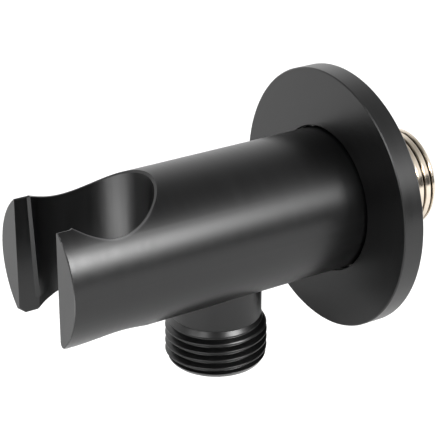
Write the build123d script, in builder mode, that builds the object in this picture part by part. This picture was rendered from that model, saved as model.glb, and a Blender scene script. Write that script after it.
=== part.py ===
# Wall outlet elbow with an integral hand-shower cradle.
#
# Frame: the body's axis lies along Y. The wall plane (the flange's back face)
# is y = 0, the wall is on the +Y side and the room on the -Y side. The hose
# outlet points down, along -Z. All sizes are millimetres.
import os
from build123d import *

# ---------------------------------------------------------------- dimensions
body_d = 30.0            # turned round body
body_front_y = -70.7    # free end of the body
body_back_y = -1.0       # rear end, just inside the flange
body_edge_r = 0.2        # edge round of the free end
body_back_chamfer = 0.5

flange_d = 55.0          # wall flange
flange_t = 4.75
flange_hole_d = 30.6     # slips over the body
flange_edge = 0.22       # small edge break

cradle_y = -59.37        # vertical axis of the cradle bore
cradle_ax = 10.97        # half width of the bore at mid height, across X
cradle_ay = 12.27        # half length of the bore at mid height, towards the wall
cradle_af = 11.2         # and towards the free end
taper_x = 0.040          # growth of the half width per mm of height
taper_y = 0.031          # growth of the half lengths per mm of height
relief_z = -9.5          # the tapered seat ends here; below it the bore is relieved
relief_ax = 10.35        # half sizes and axis of the relief
relief_ay = 12.0
relief_cy = -59.55
slot_half = 8.55         # half width of the hose slot at its mouth
throat_half = 7.9        # the bevels behind the mouth aim at this width; the bore meets them first
bevel_y = -67.55         # where the bevels start, at mid height
bevel_slope = 0.48       # how much they narrow the slot per mm
bevel_lean = 0.039       # how far their start moves along Y per mm of height
rim_skin = 0.50          # chamfer along the upper rim, measured on the bar's skin
rim_wall = 0.43          # and on the wall of the bore
rim_lower = 0.25         # edge break along the lower rim of the bore
tip_round = 0.95         # radius on the lower tips of the two prongs
tip_fade = 0.84          # how fast that rounding runs out along the slot

thread_major = 20.955    # G 1/2 pipe thread, major diameter
thread_minor = 18.631    # G 1/2 pipe thread, minor diameter
inlet_end_y = 17.8       # free end of the inlet nipple, in the wall
inlet_inner_y = -13.5    # inner end of the inlet nipple, in the body
inlet_bore_d = 14.5
inlet_chamfer = 1.0
relief_y0 = -3.0         # thread relief between the nipple's two threads
relief_y1 = -0.5
gasket_t = 1.5

outlet_y = -30.75        # axis of the hose outlet
outlet_end_z = -29.2     # lower end of the hose thread
outlet_thread_z = -19.2  # lower end of the neck, where the thread's run-out starts
outlet_runout = 2.18     # height of the conical run-out
outlet_end_d = 19.2      # diameter at the end chamfer's foot
neck_d = 18.6            # plain neck above the hose thread
shank_d = 15.0           # thread that holds the outlet nipple in the body
shank_top_z = -2.4
shoulder_z = -9.2        # nipple's shoulder
seat_z = -7.7            # seat for the outlet O-ring
outlet_bore_d = 11.0

water_d = 13.0           # drilled waterway along the body
water_end_y = -37.0

oring_groove_d = 34.1    # O-ring groove in the flange hole
oring_groove_w = 2.4
oring_section = 2.0

body_r = body_d / 2
os.makedirs("parts", exist_ok=True)

# ---------------------------------------------------------------------- body
port_y = inlet_inner_y - gasket_t        # floor of the inlet port
with BuildPart() as body:
    # Round bar with a chamfered rear end.
    with BuildSketch(Plane.XY):
        with BuildLine():
            Polyline(
                (0, body_front_y), (body_r, body_front_y),
                (body_r, body_back_y - body_back_chamfer),
                (body_r - body_back_chamfer, body_back_y), (0, body_back_y),
                close=True,
            )
        make_face()
    revolve(axis=Axis.Y)
    # Cradle bore: an upright, slightly tapered oval that grips the handset's cone.
    reach = body_r + 1
    for z in (-reach, reach):
        with BuildSketch(Plane.XY.offset(z)):
            with BuildLine():
                EllipticalCenterArc((0, cradle_y), cradle_ax + taper_x * z, cradle_ay + taper_y * z,
                                    start_angle=0, arc_size=180)
                EllipticalCenterArc((0, cradle_y), cradle_ax + taper_x * z, cradle_af + taper_y * z,
                                    start_angle=180, arc_size=180)
            make_face()
    loft(mode=Mode.SUBTRACT)
    # Hose slot through the free end. Behind its mouth two upright bevels narrow
    # it to a throat, and they lean with the taper of the bore.
    with BuildSketch(Plane.XY.offset(-reach)):
        start_y = bevel_y + bevel_lean * reach
        end_y = start_y + (slot_half - throat_half) / bevel_slope
        with BuildLine():
            Polyline(
                (-slot_half, body_front_y - 3), (slot_half, body_front_y - 3),
                (slot_half, start_y), (throat_half, end_y), (throat_half, cradle_y),
                (-throat_half, cradle_y), (-throat_half, end_y), (-slot_half, start_y),
                close=True,
            )
        make_face()
    extrude(amount=2.1 * reach, dir=(0, -bevel_lean, 1), mode=Mode.SUBTRACT)
    # Relief below the tapered seat.
    with BuildSketch(Plane.XY.offset(relief_z)):
        with Locations((0, relief_cy)):
            Ellipse(relief_ax, relief_ay)
        with Locations((0, (body_front_y + relief_cy) / 2)):
            Rectangle(2 * slot_half, relief_cy - body_front_y + 2)
    extrude(amount=-(reach + relief_z), mode=Mode.SUBTRACT)
    # Edge breaks along the rims: the whole upper rim, and the bore's lower rim.
    for upper in (True, False):
        rims = ShapeList()
        for e in body.edges():
            pts = [e @ t for t in (0.0, 0.25, 0.5, 0.75, 1.0)]
            on_bar = all(abs((p.X ** 2 + p.Z ** 2) ** 0.5 - body_r) < 0.02 for p in pts)
            span_y = max(p.Y for p in pts) - min(p.Y for p in pts)
            same_side = ((e @ 0.5).Z > 0) == upper
            slot_edge = all(abs(abs(p.X) - slot_half) < 0.02 for p in pts)
            if on_bar and same_side and max(p.Y for p in pts) < -40 and span_y > 0.3 and (upper or not slot_edge):
                rims.append(e)
        skin = body.faces().filter_by(GeomType.CYLINDER).sort_by(SortBy.AREA)[-1]
        if upper:
            chamfer(rims, rim_skin, rim_wall, reference=skin)
        else:
            chamfer(rims, rim_lower)
    # Lower tips: the acute corner between slot wall and bar is rounded off at
    # the end face, and the rounding runs out towards the bore.
    corner_z = -(body_r ** 2 - slot_half ** 2) ** 0.5
    bar_x, bar_z = -corner_z / body_r, slot_half / body_r    # along the bar's skin, away from the slot
    leg = tip_round * ((1 + bar_z) / (1 - bar_z)) ** 0.5
    for side in (1, -1):
        with BuildSketch(Plane.XZ.offset(-body_front_y)):
            with BuildLine():
                w0 = (side * slot_half, corner_z + leg)
                w1 = (side * (slot_half + leg * bar_x), corner_z + leg * bar_z)
                RadiusArc(w0, w1, -side * tip_round)
                Polyline(w1, (side * (slot_half + leg * bar_x), -reach), (side * (slot_half - 2), -reach),
                         (side * (slot_half - 2), corner_z + leg), w0)
            make_face()
        extrude(amount=6, dir=(-side * 0.467 * tip_fade, 1, -0.884 * tip_fade), mode=Mode.SUBTRACT)
    # Edge round of the free end.
    with BuildSketch(Plane.XY):
        with BuildLine():
            m1 = Line((body_r - body_edge_r, body_front_y - 1), (body_r - body_edge_r, body_front_y))
            m2 = RadiusArc(m1 @ 1, (body_r, body_front_y + body_edge_r), -body_edge_r)
            Polyline(m2 @ 1, (body_r + 1, body_front_y + body_edge_r), (body_r + 1, body_front_y - 1), m1 @ 0)
        make_face()
    revolve(axis=Axis.Y, mode=Mode.SUBTRACT)
    # Inlet port and waterway.
    with BuildSketch(Plane.XZ.offset(-body_back_y)):
        Circle(thread_major / 2 + 0.02)
    extrude(amount=body_back_y - port_y, mode=Mode.SUBTRACT)
    with BuildSketch(Plane.XZ.offset(-port_y)):
        Circle(water_d / 2)
    extrude(amount=port_y - water_end_y, mode=Mode.SUBTRACT)
    # Outlet port: counterbore for the nipple's neck, O-ring seat, shank hole.
    with BuildSketch(Plane.XY.offset(-body_r - 1)):
        with Locations((0, outlet_y)):
            Circle(neck_d / 2 + 0.02)
    extrude(amount=seat_z + body_r + 1, mode=Mode.SUBTRACT)
    with BuildSketch(Plane.XY.offset(seat_z)):
        with Locations((0, outlet_y)):
            Circle(shank_d / 2 + 0.02)
    extrude(amount=-seat_z, mode=Mode.SUBTRACT)
body.part.label = "body"
export_step(body.part, "parts/body.step")

# --------------------------------------------------------------- wall flange
with BuildPart() as wall_flange:
    fr, hr, gr = flange_d / 2, flange_hole_d / 2, oring_groove_d / 2
    gy0 = -flange_t / 2 - oring_groove_w / 2
    gy1 = -flange_t / 2 + oring_groove_w / 2
    with BuildSketch(Plane.XY):
        with BuildLine():
            Polyline(
                (hr, -flange_t + flange_edge), (hr + flange_edge, -flange_t),
                (fr - flange_edge, -flange_t), (fr, -flange_t + flange_edge),
                (fr, -flange_edge), (fr - flange_edge, 0),
                (hr + flange_edge, 0), (hr, -flange_edge),
                (hr, gy1), (gr, gy1), (gr, gy0), (hr, gy0),
                close=True,
            )
        make_face()
    revolve(axis=Axis.Y)
wall_flange.part.label = "wall_flange"
export_step(wall_flange.part, "parts/wall_flange.step")

# O-ring in the flange hole: it lies on the groove floor and grips the body.
with BuildPart() as flange_o_ring:
    ro = oring_groove_d / 2
    with BuildSketch(Plane.XY):
        with Locations((ro - oring_section / 2 + 0.08, -flange_t / 2)):
            Circle(oring_section / 2)
        with Locations((ro + 1, -flange_t / 2)):
            Rectangle(2, 4, mode=Mode.SUBTRACT)
        with Locations((body_r + 0.05 - 1, -flange_t / 2)):
            Rectangle(2, 4, mode=Mode.SUBTRACT)
    revolve(axis=Axis.Y)
flange_o_ring.part.label = "flange_o_ring"
export_step(flange_o_ring.part, "parts/flange_o_ring.step")

# -------------------------------------------------------------- inlet nipple
with BuildPart() as inlet_nipple:
    ir, tr, mr = inlet_bore_d / 2, thread_major / 2, thread_minor / 2
    with BuildSketch(Plane.XY):
        with BuildLine():
            Polyline(
                (ir, inlet_inner_y), (tr - inlet_chamfer, inlet_inner_y),
                (tr, inlet_inner_y + inlet_chamfer), (tr, relief_y0),
                (mr, relief_y0 + 0.6), (mr, relief_y1 - 0.6), (tr, relief_y1),
                (tr, inlet_end_y - inlet_chamfer), (tr - inlet_chamfer, inlet_end_y),
                (ir + 0.4, inlet_end_y), (ir, inlet_end_y - 0.4),
                close=True,
            )
        make_face()
    revolve(axis=Axis.Y)
inlet_nipple.part.label = "inlet_nipple"
export_step(inlet_nipple.part, "parts/inlet_nipple.step")

# Flat gasket on the floor of the inlet port.
with BuildPart() as inlet_gasket:
    with BuildSketch(Plane.XZ.offset(-inlet_inner_y)):
        Circle(thread_major / 2 - 0.2)
        Circle(inlet_bore_d / 2, mode=Mode.SUBTRACT)
    extrude(amount=gasket_t)
inlet_gasket.part.label = "inlet_gasket"
export_step(inlet_gasket.part, "parts/inlet_gasket.step")

# ------------------------------------------------------------- outlet nipple
with BuildPart() as outlet_nipple:
    br, nr, sr = outlet_bore_d / 2, neck_d / 2, shank_d / 2
    er = outlet_end_d / 2
    with BuildSketch(Plane.YZ):
        with BuildLine():
            Polyline(
                (outlet_y + br, shank_top_z), (outlet_y + sr - 0.5, shank_top_z),
                (outlet_y + sr, shank_top_z - 0.5), (outlet_y + sr, shoulder_z),
                (outlet_y + nr, shoulder_z), (outlet_y + nr, outlet_thread_z),
                (outlet_y + tr, outlet_thread_z - outlet_runout),
                (outlet_y + tr, outlet_end_z + (tr - er)), (outlet_y + er, outlet_end_z),
                (outlet_y + br + 0.5, outlet_end_z), (outlet_y + br, outlet_end_z + 0.5),
                close=True,
            )
        make_face()
    revolve(axis=Axis((0, outlet_y, 0), (0, 0, 1)))
outlet_nipple.part.label = "outlet_nipple"
export_step(outlet_nipple.part, "parts/outlet_nipple.step")

# O-ring squeezed between the nipple's shoulder and its seat in the body.
with BuildPart() as outlet_o_ring:
    section = 1.7
    mid_z = (shoulder_z + seat_z) / 2
    with BuildSketch(Plane.YZ):
        with Locations((outlet_y + (shank_d / 2 + neck_d / 2) / 2, mid_z)):
            Circle(section / 2)
        with Locations((outlet_y + 8.4, seat_z + 1), (outlet_y + 8.4, shoulder_z - 1)):
            Rectangle(4, 2, mode=Mode.SUBTRACT)
    revolve(axis=Axis((0, outlet_y, 0), (0, 0, 1)))
outlet_o_ring.part.label = "outlet_o_ring"
export_step(outlet_o_ring.part, "parts/outlet_o_ring.step")
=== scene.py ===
"""Wall outlet elbow with a hand-shower cradle: finishes, screw threads, floor, light and camera."""

import math

import bpy
import numpy as np
from mathutils import Matrix, Quaternion, Vector


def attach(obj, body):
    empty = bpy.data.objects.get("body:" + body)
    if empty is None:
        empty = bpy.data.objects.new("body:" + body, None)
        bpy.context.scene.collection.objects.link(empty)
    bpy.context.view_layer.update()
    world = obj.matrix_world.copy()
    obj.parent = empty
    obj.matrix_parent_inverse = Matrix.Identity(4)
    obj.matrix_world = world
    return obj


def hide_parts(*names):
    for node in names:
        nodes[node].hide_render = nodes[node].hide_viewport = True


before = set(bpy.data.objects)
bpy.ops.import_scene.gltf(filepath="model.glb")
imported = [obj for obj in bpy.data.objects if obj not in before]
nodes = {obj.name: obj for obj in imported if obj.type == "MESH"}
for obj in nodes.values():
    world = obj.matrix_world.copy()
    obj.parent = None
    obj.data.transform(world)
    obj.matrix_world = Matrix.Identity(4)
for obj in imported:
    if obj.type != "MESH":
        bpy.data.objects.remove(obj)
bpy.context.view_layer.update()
scene = bpy.context.scene

MM = 0.001


# ------------------------------------------------------------------ node help
class Tree:
    """Short hand for building one material's nodes."""

    def __init__(self, name):
        self.mat = bpy.data.materials.new(name)
        self.mat.use_nodes = True
        self.t = self.mat.node_tree
        self.t.nodes.clear()
        self.out = self.t.nodes.new("ShaderNodeOutputMaterial")
        self.bsdf = self.t.nodes.new("ShaderNodeBsdfPrincipled")
        self.t.links.new(self.bsdf.outputs["BSDF"], self.out.inputs["Surface"])
        coord = self.t.nodes.new("ShaderNodeTexCoord")
        self.object = coord.outputs["Object"]

    def link(self, a, b):
        self.t.links.new(a, b)

    def set(self, **values):
        for key, value in values.items():
            self.bsdf.inputs[key.replace("_", " ")].default_value = value

    def math(self, op, a, b=None, c=None):
        n = self.t.nodes.new("ShaderNodeMath")
        n.operation = op
        for i, v in enumerate((a, b, c)):
            if v is None:
                continue
            if isinstance(v, (int, float)):
                n.inputs[i].default_value = v
            else:
                self.link(v, n.inputs[i])
        return n.outputs[0]

    def split(self, vector):
        n = self.t.nodes.new("ShaderNodeSeparateXYZ")
        self.link(vector, n.inputs[0])
        return n.outputs[0], n.outputs[1], n.outputs[2]

    def join(self, x, y, z):
        n = self.t.nodes.new("ShaderNodeCombineXYZ")
        for i, v in enumerate((x, y, z)):
            if isinstance(v, (int, float)):
                n.inputs[i].default_value = v
            else:
                self.link(v, n.inputs[i])
        return n.outputs[0]

    def scaled(self, vector, scale, offset=(0, 0, 0)):
        n = self.t.nodes.new("ShaderNodeMapping")
        n.inputs["Scale"].default_value = scale
        n.inputs["Location"].default_value = offset
        self.link(vector, n.inputs["Vector"])
        return n.outputs[0]

    def noise(self, vector, scale=1.0, detail=2.0, rough=0.55):
        n = self.t.nodes.new("ShaderNodeTexNoise")
        n.inputs["Scale"].default_value = scale
        n.inputs["Detail"].default_value = detail
        n.inputs["Roughness"].default_value = rough
        self.link(vector, n.inputs["Vector"])
        return n.outputs["Fac"]

    def span(self, value, lo, hi, to_lo, to_hi):
        n = self.t.nodes.new("ShaderNodeMapRange")
        n.inputs["From Min"].default_value = lo
        n.inputs["From Max"].default_value = hi
        n.inputs["To Min"].default_value = to_lo
        n.inputs["To Max"].default_value = to_hi
        self.link(value, n.inputs["Value"])
        return n.outputs[0]

    def mix(self, fac, a, b):
        n = self.t.nodes.new("ShaderNodeMix")
        n.data_type = "RGBA"
        self.link(fac, n.inputs["Factor"])
        for key, colour in (("A", a), ("B", b)):
            if isinstance(colour, tuple):
                n.inputs[key].default_value = (*colour, 1)
            else:
                self.link(colour, n.inputs[key])
        return n.outputs["Result"]

    def bump(self, height, strength, distance, normal=None):
        n = self.t.nodes.new("ShaderNodeBump")
        n.inputs["Strength"].default_value = strength
        n.inputs["Distance"].default_value = distance
        self.link(height, n.inputs["Height"])
        if normal is not None:
            self.link(normal, n.inputs["Normal"])
        return n.outputs["Normal"]


# ------------------------------------------------------------------ materials
def satin_black(name, lines, rough=0.32):
    """Satin black coating over brushed metal. lines picks the way the brush marks run."""
    t = Tree(name)
    x, y, z = t.split(t.object)
    if lines == "around_bar":          # rings about the bar's axis
        v = t.scaled(t.object, (22, 3600, 22))
        w = t.scaled(t.object, (60, 900, 60), (3, 7, 1))
    elif lines == "around_plate":      # rings on the plate's face, and round its rim
        r = t.math("SQRT", t.math("ADD", t.math("MULTIPLY", x, x), t.math("MULTIPLY", z, z)))
        v = t.join(t.math("MULTIPLY", r, 3600), t.math("MULTIPLY", y, 3600), t.math("MULTIPLY", x, 22))
        w = t.join(t.math("MULTIPLY", r, 900), t.math("MULTIPLY", y, 900), t.math("MULTIPLY", z, 60))
    else:                              # rings about the outlet's axis
        v = t.scaled(t.object, (22, 22, 3600))
        w = t.scaled(t.object, (60, 60, 900), (3, 7, 1))
    fine = t.noise(v, 1.0, 3.0, 0.6)
    broad = t.noise(w, 1.0, 2.0, 0.5)
    grain = t.noise(t.scaled(t.object, (9000, 9000, 9000)), 1.0, 1.0, 0.5)
    coat = t.mix(t.span(broad, 0.35, 0.65, 0.0, 1.0), (0.0004, 0.0004, 0.00045), (0.0009, 0.0009, 0.0010))
    if lines == "around_bar":          # painted highlight: the coat is made paler on the skin along the cradle's upper rim, in place of the light line a rounded edge would reflect
        back = t.math("GREATER_THAN", y, -0.05937)
        half_x = t.math("MULTIPLY_ADD", z, 0.040, 0.01097)
        half_y = t.math("ADD", t.math("MULTIPLY_ADD", z, 0.031, 0.0112), t.math("MULTIPLY", back, 0.00107))
        ex = t.math("DIVIDE", x, half_x)
        ey = t.math("DIVIDE", t.math("ADD", y, 0.05937), half_y)
        oval = t.math("SQRT", t.math("ADD", t.math("MULTIPLY", ex, ex), t.math("MULTIPLY", ey, ey)))
        r = t.math("SQRT", t.math("ADD", t.math("MULTIPLY", x, x), t.math("MULTIPLY", z, z)))
        painted_rim_highlight = t.math("MULTIPLY", t.span(oval, 1.043, 1.057, 1.0, 0.0), t.math("GREATER_THAN", z, 0.004))
        painted_rim_highlight = t.math("MULTIPLY", painted_rim_highlight, t.span(r, 0.01492, 0.01498, 0.0, 1.0))
        painted_rim_highlight = t.math("MULTIPLY", painted_rim_highlight, t.span(y, -0.0525, -0.0500, 1.0, 0.0))
        # painted highlight: paler coat colour laid along the upper rim
        coat = t.mix(painted_rim_highlight, coat, (0.028, 0.028, 0.029))
    t.link(coat, t.bsdf.inputs["Base Color"])
    t.link(t.math("ADD", t.span(fine, 0.3, 0.7, rough - 0.025, rough + 0.025), t.span(broad, 0.3, 0.7, -0.010, 0.010)),
           t.bsdf.inputs["Roughness"])
    n1 = t.bump(fine, 0.16, 0.000012)
    t.link(t.bump(grain, 0.10, 0.000006, n1), t.bsdf.inputs["Normal"])
    t.set(Metallic=0.0, IOR=1.5)
    return t.mat


def pale_brass(name):
    """Bright machined brass with faint turning marks, with shade painted dark into the grooves of the thread."""
    t = Tree(name)
    x, y, z = t.split(t.object)
    r = t.math("SQRT", t.math("ADD", t.math("MULTIPLY", x, x), t.math("MULTIPLY", z, z)))
    # painted shade: near-black brown base colour in the thread's grooves, picked by radius, short of the nipple's end
    groove = t.math("MULTIPLY", t.span(r, 0.01008, 0.01034, 1.0, 0.0), t.math("LESS_THAN", y, 0.0167))
    fine = t.noise(t.scaled(t.object, (30, 2600, 30)), 1.0, 3.0, 0.6)
    broad = t.noise(t.scaled(t.object, (160, 260, 160)), 1.0, 2.0, 0.5)
    clean = t.mix(t.span(broad, 0.3, 0.7, 0.0, 1.0), (0.66, 0.575, 0.470), (0.74, 0.655, 0.545))
    t.link(t.mix(groove, clean, (0.030, 0.020, 0.012)), t.bsdf.inputs["Base Color"])
    t.link(t.span(fine, 0.3, 0.7, 0.12, 0.20), t.bsdf.inputs["Roughness"])
    t.link(t.bump(fine, 0.10, 0.000010), t.bsdf.inputs["Normal"])
    t.set(Metallic=1.0)
    return t.mat


def black_rubber(name):
    t = Tree(name)
    spots = t.noise(t.scaled(t.object, (2200, 2200, 2200)), 1.0, 2.0, 0.6)
    t.link(t.mix(spots, (0.010, 0.010, 0.010), (0.020, 0.020, 0.020)), t.bsdf.inputs["Base Color"])
    t.link(t.span(spots, 0.3, 0.7, 0.52, 0.66), t.bsdf.inputs["Roughness"])
    t.link(t.bump(spots, 0.2, 0.00002), t.bsdf.inputs["Normal"])
    t.set(Metallic=0.0, IOR=1.5)
    return t.mat


BLACK_BAR = satin_black("satin_black_bar", "around_bar")
BLACK_PLATE = satin_black("satin_black_plate", "around_plate")
BLACK_OUTLET = satin_black("satin_black_outlet", "around_outlet")
BRASS = pale_brass("pale_brass_turned")
RUBBER = black_rubber("black_rubber_seal")

for node, mat in (("body", BLACK_BAR), ("wall_flange", BLACK_PLATE), ("flange_o_ring", RUBBER),
                  ("inlet_gasket", RUBBER), ("outlet_o_ring", RUBBER)):
    slots = nodes[node].material_slots
    for s in slots:
        s.link = "OBJECT"
        s.material = mat


# -------------------------------------------------------------------- threads
PITCH = 1.814            # pipe thread, 14 turns to the inch
MAJOR = 10.4775
MINOR = 9.3155


def whitworth(u):
    """Rounded 55 degree thread form: 0 at the root, 1 at the crest, by the part u of a turn from the crest."""
    d = np.abs((u + 0.5) % 1.0 - 0.5)             # 0 at the middle of the crest, 0.5 at the middle of the root
    flat, round_off = 0.04, 0.09
    x = np.clip((d - flat) / (0.5 - 2 * flat), 0.0, 1.0)
    k = round_off / (0.5 - 2 * flat)
    # straight flanks whose two ends are eased into crest and root
    y = np.where(x < k, x * x / (2 * k), np.where(x > 1 - k, (1 - k) - (1 - x) ** 2 / (2 * k), x - k / 2))
    return 1.0 - np.clip(y / (1 - k), 0.0, 1.0)


def flat_crested(u):
    """Thread form with a wide flat crest and a narrow rounded groove: 0 in the groove, 1 on the crest."""
    d = np.abs((u + 0.5) % 1.0 - 0.5)             # 0 at the middle of the crest, 0.5 at the middle of the groove
    t = np.clip((d - 0.30) / 0.15, 0.0, 1.0)
    return 1.0 - t * t * (3 - 2 * t)


def lathe(name, rows, seg, place):
    """Closed ring of rows. rows holds (distance along the axis, radius or radii by angle, sharp), in mm; place turns
    (angle, distance, radius) arrays into points in metres. Rows marked sharp keep a hard edge."""
    ang = np.linspace(0, 2 * math.pi, seg, endpoint=False)
    pts = []
    for s, r, _ in rows:
        r = np.broadcast_to(np.asarray(r, float), ang.shape)
        pts.append(place(ang, np.full_like(ang, s), r))
    verts = np.concatenate(pts)
    n = len(rows)
    i = np.arange(n)[:, None]
    j = np.arange(seg)[None, :]
    i2, j2 = (i + 1) % n, (j + 1) % seg
    faces = np.stack([i * seg + j, i * seg + j2, i2 * seg + j2, i2 * seg + j], -1).reshape(-1, 4)
    mesh = bpy.data.meshes.new(name)
    mesh.from_pydata(verts.tolist(), [], faces.tolist())
    mesh.validate()
    mesh.shade_smooth()
    sharp_rows = {k for k, row in enumerate(rows) if row[2]}
    sharp = np.zeros(len(mesh.edges), bool)
    ev = np.zeros(len(mesh.edges) * 2, np.int32)
    mesh.edges.foreach_get("vertices", ev)
    ev = ev.reshape(-1, 2) // seg
    same = ev[:, 0] == ev[:, 1]
    sharp[same] = np.isin(ev[same, 0], list(sharp_rows))
    mesh.attributes.new("sharp_edge", "BOOLEAN", "EDGE").data.foreach_set("value", sharp)
    obj = bpy.data.objects.new(name, mesh)
    scene.collection.objects.link(obj)
    # Normals point out of the solid: the signed volume tells which way round the faces are.
    tri = verts[faces]
    vol = np.einsum("ij,ij->i", tri[:, 0], np.cross(tri[:, 1], tri[:, 2])).sum() + np.einsum(
        "ij,ij->i", tri[:, 0], np.cross(tri[:, 2], tri[:, 3])).sum()
    if vol < 0:
        mesh.flip_normals()
    return obj


def rounded(points, radius, steps=3):
    """Rows of a profile whose corners are rounded, except where a point asks for none. Points are (s, r, radius or None)."""
    rows = []
    n = len(points)
    for k in range(n):
        p0 = np.array(points[k - 1][:2], float)
        p1 = np.array(points[k][:2], float)
        p2 = np.array(points[(k + 1) % n][:2], float)
        rad = radius if points[k][2] is None else points[k][2]
        a, b = p0 - p1, p2 - p1
        la, lb = np.linalg.norm(a), np.linalg.norm(b)
        cut = min(rad, 0.45 * la, 0.45 * lb)
        if cut < 1e-4:
            rows.append((p1[0], p1[1], True))
            continue
        q0, q2 = p1 + a / la * cut, p1 + b / lb * cut
        for m in range(steps + 1):
            t = m / steps
            q = (1 - t) ** 2 * q0 + 2 * t * (1 - t) * p1 + t ** 2 * q2
            rows.append((q[0], q[1], False))
    return rows


def fill_rows(rows, step):
    """Adds rows on long runs, so that faces stay well shaped."""
    out = []
    for k, row in enumerate(rows):
        out.append(row)
        nxt = rows[(k + 1) % len(rows)]
        d = math.hypot(nxt[0] - row[0], nxt[1] - row[1])
        m = int(d // step)
        for q in range(1, m + 1):
            t = q / (m + 1)
            out.append((row[0] + (nxt[0] - row[0]) * t, row[1] + (nxt[1] - row[1]) * t, False))
    return out


# Hose outlet: plain neck, chamfered shoulder, thread, chamfered end. Distances run down the outlet's axis.
OUT_Y = -30.75
SEG = 256
ANG = np.linspace(0, 2 * math.pi, SEG, endpoint=False)
CAM_ANGLE = math.atan2(-0.4932, 0.7616)       # the side of the outlet that the picture shows


def place_outlet(ang, s, r):
    return np.stack([r * np.cos(ang), OUT_Y + r * np.sin(ang), -s], -1) * MM


def outlet_thread_rows(s0, s1, step):
    """Rows of the outlet's thread from s0 to s1. A right-hand thread: going round anticlockwise from above, it rises."""
    rows = []
    crest = 21.45                              # a crest on the side shown
    for s in np.arange(s0, s1 + 1e-9, step):
        z = -s
        u = (z + crest) / PITCH - (ANG - CAM_ANGLE) / (2 * math.pi)
        r = MINOR + (MAJOR - MINOR) * whitworth(u)
        # a shallow undercut, then a conical run-out that also trims the first crest
        dip = 0.10 * math.sin(math.pi * min(max((s - 18.9) / 0.3, 0.0), 1.0)) ** 2
        top = 9.30 - dip + 0.54 * max(s - 19.2, 0.0)
        end = 9.56 + (29.20 - s) * 0.62        # end chamfer
        r = np.minimum(r, np.clip(top, 9.20, MAJOR))
        r = np.minimum(r, np.clip(end, 9.0, MAJOR))
        rows.append((float(s), r, False))
    return rows


head = rounded([(2.4, 5.5, 0.15), (2.4, 7.0, 0.12), (2.9, 7.5, 0.12), (9.2, 7.5, 0.08), (9.2, 9.3, 0.08), (18.3, 9.3, 0.0)], 0.1)[:-1]
neck = [(s, 9.3, False) for s in np.arange(10.0, 18.30, 1.0)]
thread = outlet_thread_rows(18.34, 29.05, 0.0605)
tip = [(29.12, 9.58, False), (29.175, 9.54, False), (29.2, 9.48, False), (29.2, 9.3, False), (29.2, 8.4, False), (29.2, 7.2, False),
       (29.2, 6.1, False), (29.18, 6.02, False), (29.1, 5.92, False), (28.75, 5.55, False), (28.65, 5.51, False)]
bore = [(s, 5.5, False) for s in np.arange(28.0, 2.6, -1.6)]
outlet = lathe("outlet_nipple_threaded", head + neck + thread + tip + bore, SEG, place_outlet)
outlet.data.materials.append(BLACK_OUTLET)
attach(outlet, "elbow")
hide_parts("outlet_nipple")


# Wall inlet: distances run along the body's axis, into the wall.
def place_inlet(ang, s, r):
    return np.stack([r * np.cos(ang), s, r * np.sin(ang)], -1) * MM


def inlet_thread_rows(s0, s1, step):
    """Rows of the inlet's thread. A right-hand thread about the body's axis."""
    rows = []
    groove, at = 15.06 + PITCH / 2, math.radians(32)
    for s in np.arange(s0, s1 + 1e-9, step):
        u = (s - groove) / PITCH + 0.5 + (ANG - at) / (2 * math.pi)
        r = MAJOR - 0.62 * (1 - flat_crested(u))
        end = (MAJOR - 1.0) + (17.8 - s) * 1.0
        start = MINOR + (s + 1.1) * 1.94
        r = np.minimum(r, np.clip(end, 9.0, MAJOR))
        r = np.minimum(r, np.clip(start, MINOR, MAJOR))
        rows.append((float(s), r, False))
    return rows


inner = rounded([(-13.5, 7.25, 0.1), (-13.5, 9.4775, 0.15), (-12.5, MAJOR, 0.15), (-3.0, MAJOR, 0.1), (-2.4, MINOR, 0.1)], 0.1)
relief = [(-1.8, MINOR, False), (-1.25, MINOR, False)]
ithread = inlet_thread_rows(-1.10, 17.70, 0.0905)
itip = [(17.77, 9.50, False), (17.8, 9.42, False), (17.8, 9.2, False), (17.8, 8.4, False), (17.8, 7.75, False), (17.78, 7.66, False),
        (17.7, 7.56, False), (17.45, 7.30, False), (17.35, 7.26, False)]
ibore = [(s, 7.25, False) for s in np.arange(16.5, -13.2, -1.8)]
inlet = lathe("inlet_nipple_threaded", inner + relief + ithread + itip + ibore, SEG, place_inlet)
inlet.data.materials.append(BRASS)
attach(inlet, "elbow")
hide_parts("inlet_nipple")


# ---------------------------------------------------------- floor, light, camera
def floor_material(name, level):
    t = Tree(name)
    soft = t.noise(t.scaled(t.object, (3, 3, 3)), 1.0, 2.0, 0.5)
    t.link(t.mix(soft, (level,) * 3, (level + 0.02,) * 3), t.bsdf.inputs["Base Color"])
    t.set(Roughness=0.9, IOR=1.45)
    return t.mat


def plane(name, z, half, mat):
    mesh = bpy.data.meshes.new(name)
    mesh.from_pydata([(-half, -half, z), (half, -half, z), (half, half, z), (-half, half, z)], [], [(0, 1, 2, 3)])
    mesh.materials.append(mat)
    obj = bpy.data.objects.new(name, mesh)
    scene.collection.objects.link(obj)
    return obj


def ring(name, z, inner, outer, mat):
    """Flat ring about the outlet's axis."""
    mesh = bpy.data.meshes.new(name)
    turn = [2 * math.pi * k / 96 for k in range(96)]
    verts = [(r * math.cos(a), OUT_Y * MM + r * math.sin(a), z) for r in (inner, outer) for a in turn]
    mesh.from_pydata(verts, [], [(k, (k + 1) % 96, 96 + (k + 1) % 96, 96 + k) for k in range(96)])
    mesh.flip_normals()
    mesh.materials.append(mat)
    obj = bpy.data.objects.new(name, mesh)
    scene.collection.objects.link(obj)
    return obj


plane("floor", -0.45, 6.0, floor_material("pale_floor", 0.93))
# A small table close under the object, open below the outlet. It shows in the object's gloss alone, with the object's
# shade on it.
table = ring("table", -0.0298, 0.0106, 0.36, floor_material("pale_table", 0.62))
table.visible_camera = False
table.visible_diffuse = False
table.visible_transmission = False
table.visible_shadow = False

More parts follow.
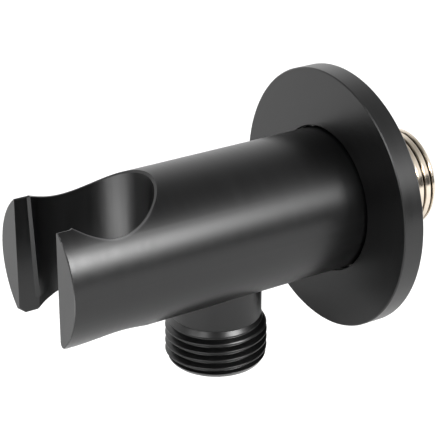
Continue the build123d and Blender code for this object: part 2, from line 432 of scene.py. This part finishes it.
world = bpy.data.worlds.new("studio")
scene.world = world
world.use_nodes = True
wt = world.node_tree
sky = wt.nodes["Background"]
where = wt.nodes.new("ShaderNodeTexCoord")
axes = wt.nodes.new("ShaderNodeSeparateXYZ")
wt.links.new(where.outputs["Generated"], axes.inputs[0])
ramp = wt.nodes.new("ShaderNodeValToRGB")
ramp.color_ramp.interpolation = "LINEAR"
stops = ((0.0, 1.18), (0.34, 1.18), (0.57, 1.02), (0.69, 0.75), (0.85, 0.31), (1.0, 0.22))
while len(ramp.color_ramp.elements) < len(stops):
    ramp.color_ramp.elements.new(0.5)
for e, (at, level) in zip(ramp.color_ramp.elements, stops):
    e.position = at
    e.color = (level / 1.3, level / 1.3, level / 1.3, 1)
wt.links.new(axes.outputs[2], ramp.inputs[0])
# The room is dim between the front and the right-hand lights.
gap = wt.nodes.new("ShaderNodeVectorMath")
gap.operation = "DOT_PRODUCT"
gap.inputs[1].default_value = (math.cos(math.radians(-28)), math.sin(math.radians(-28)), 0.25)
wt.links.new(where.outputs["Generated"], gap.inputs[0])
dim = wt.nodes.new("ShaderNodeMapRange")
for key, value in (("From Min", 0.62), ("From Max", 0.90), ("To Min", 1.3), ("To Max", 0.25)):
    dim.inputs[key].default_value = value
wt.links.new(gap.outputs["Value"], dim.inputs["Value"])
wt.links.new(ramp.outputs[0], sky.inputs["Color"])
wt.links.new(dim.outputs[0], sky.inputs["Strength"])


def dark_card(name, azimuth, elevation, distance, width, height):
    """Black card that only the object's gloss shows, as photographers set up to draw a dark line between two lights."""
    a, e = math.radians(azimuth), math.radians(elevation)
    back = Vector((math.cos(a) * math.cos(e), math.sin(a) * math.cos(e), math.sin(e)))
    mesh = bpy.data.meshes.new(name)
    w, h = width / 2, height / 2
    mesh.from_pydata([(-w, -h, 0), (w, -h, 0), (w, h, 0), (-w, h, 0)], [], [(0, 1, 2, 3)])
    mesh.materials.append(CARD)
    obj = bpy.data.objects.new(name, mesh)
    scene.collection.objects.link(obj)
    obj.location = Vector((0, -0.03, 0)) + back * distance
    obj.rotation_mode = "QUATERNION"
    obj.rotation_quaternion = (-back).to_track_quat("-Z", "Y")
    for ray in ("camera", "diffuse", "transmission", "shadow"):
        setattr(obj, "visible_" + ray, False)
    return obj


CARD = Tree("black_card")
CARD.set(Base_Color=(0.01, 0.01, 0.01, 1), Roughness=0.8)
CARD = CARD.mat
dark_card("horizon_card", 34, 4.5, 0.9, 1.0, 0.31)


def softbox(name, azimuth, elevation, distance, width, height, radiance, centre=(0, -0.03, 0)):
    """Rectangular light that faces the object. Azimuth is measured from +X towards +Y, in degrees; sizes are in metres."""
    a, e = math.radians(azimuth), math.radians(elevation)
    back = Vector((math.cos(a) * math.cos(e), math.sin(a) * math.cos(e), math.sin(e)))
    data = bpy.data.lights.new(name, "AREA")
    data.shape = "RECTANGLE"
    data.size, data.size_y = width, height
    data.energy = radiance * math.pi * width * height
    obj = bpy.data.objects.new(name, data)
    scene.collection.objects.link(obj)
    obj.location = Vector(centre) + back * distance
    obj.rotation_mode = "QUATERNION"
    obj.rotation_quaternion = (-back).to_track_quat("-Z", "Y")
    obj.visible_camera = False
    return obj


# The right-hand light is brightest in its middle.
softbox("right_core", 14.0, 28.0, 1.00, 0.46, 0.22, 16.0)
softbox("right_box", 14.0, 28.0, 1.01, 0.48, 0.36, 9.0)
softbox("right_edge", 14.0, 29.0, 1.02, 0.54, 0.56, 3.0)
softbox("front_box", -72, 27, 1.0, 0.60, 0.60, 5.0)
# A bright card lying on the table in front of the cradle.
card = softbox("front_card", -90, -24, 0.080, 0.070, 0.042, 7.7)
card.location = (0.029, -0.127, -0.0285)
card.rotation_quaternion = Quaternion((1, 0, 0), math.pi)
# Overhead light for the floor and table; the object's gloss doesn't show it.
wash = softbox("floor_wash", 0, 90, 2.6, 6.0, 6.0, 1.25)
wash.visible_glossy = False

cam_data = bpy.data.cameras.new("camera")
cam_data.sensor_width = 36.0
cam_data.lens = 1630.03 / 440 * 36
cam_data.clip_start = 0.01
camera = bpy.data.objects.new("camera", cam_data)
scene.collection.objects.link(camera)
cx, cy, cz = Vector((0.54156, 0.84064, 0.00515)), Vector((-0.35595, 0.22376, 0.90731)), Vector((0.76158, -0.49320, 0.42041))
m = Matrix((cx, cy, cz)).transposed().to_4x4()
m.translation = Vector((0.24796, -0.19047, 0.13803))
camera.matrix_world = m
scene.camera = camera
scene.view_settings.view_transform = "Standard"
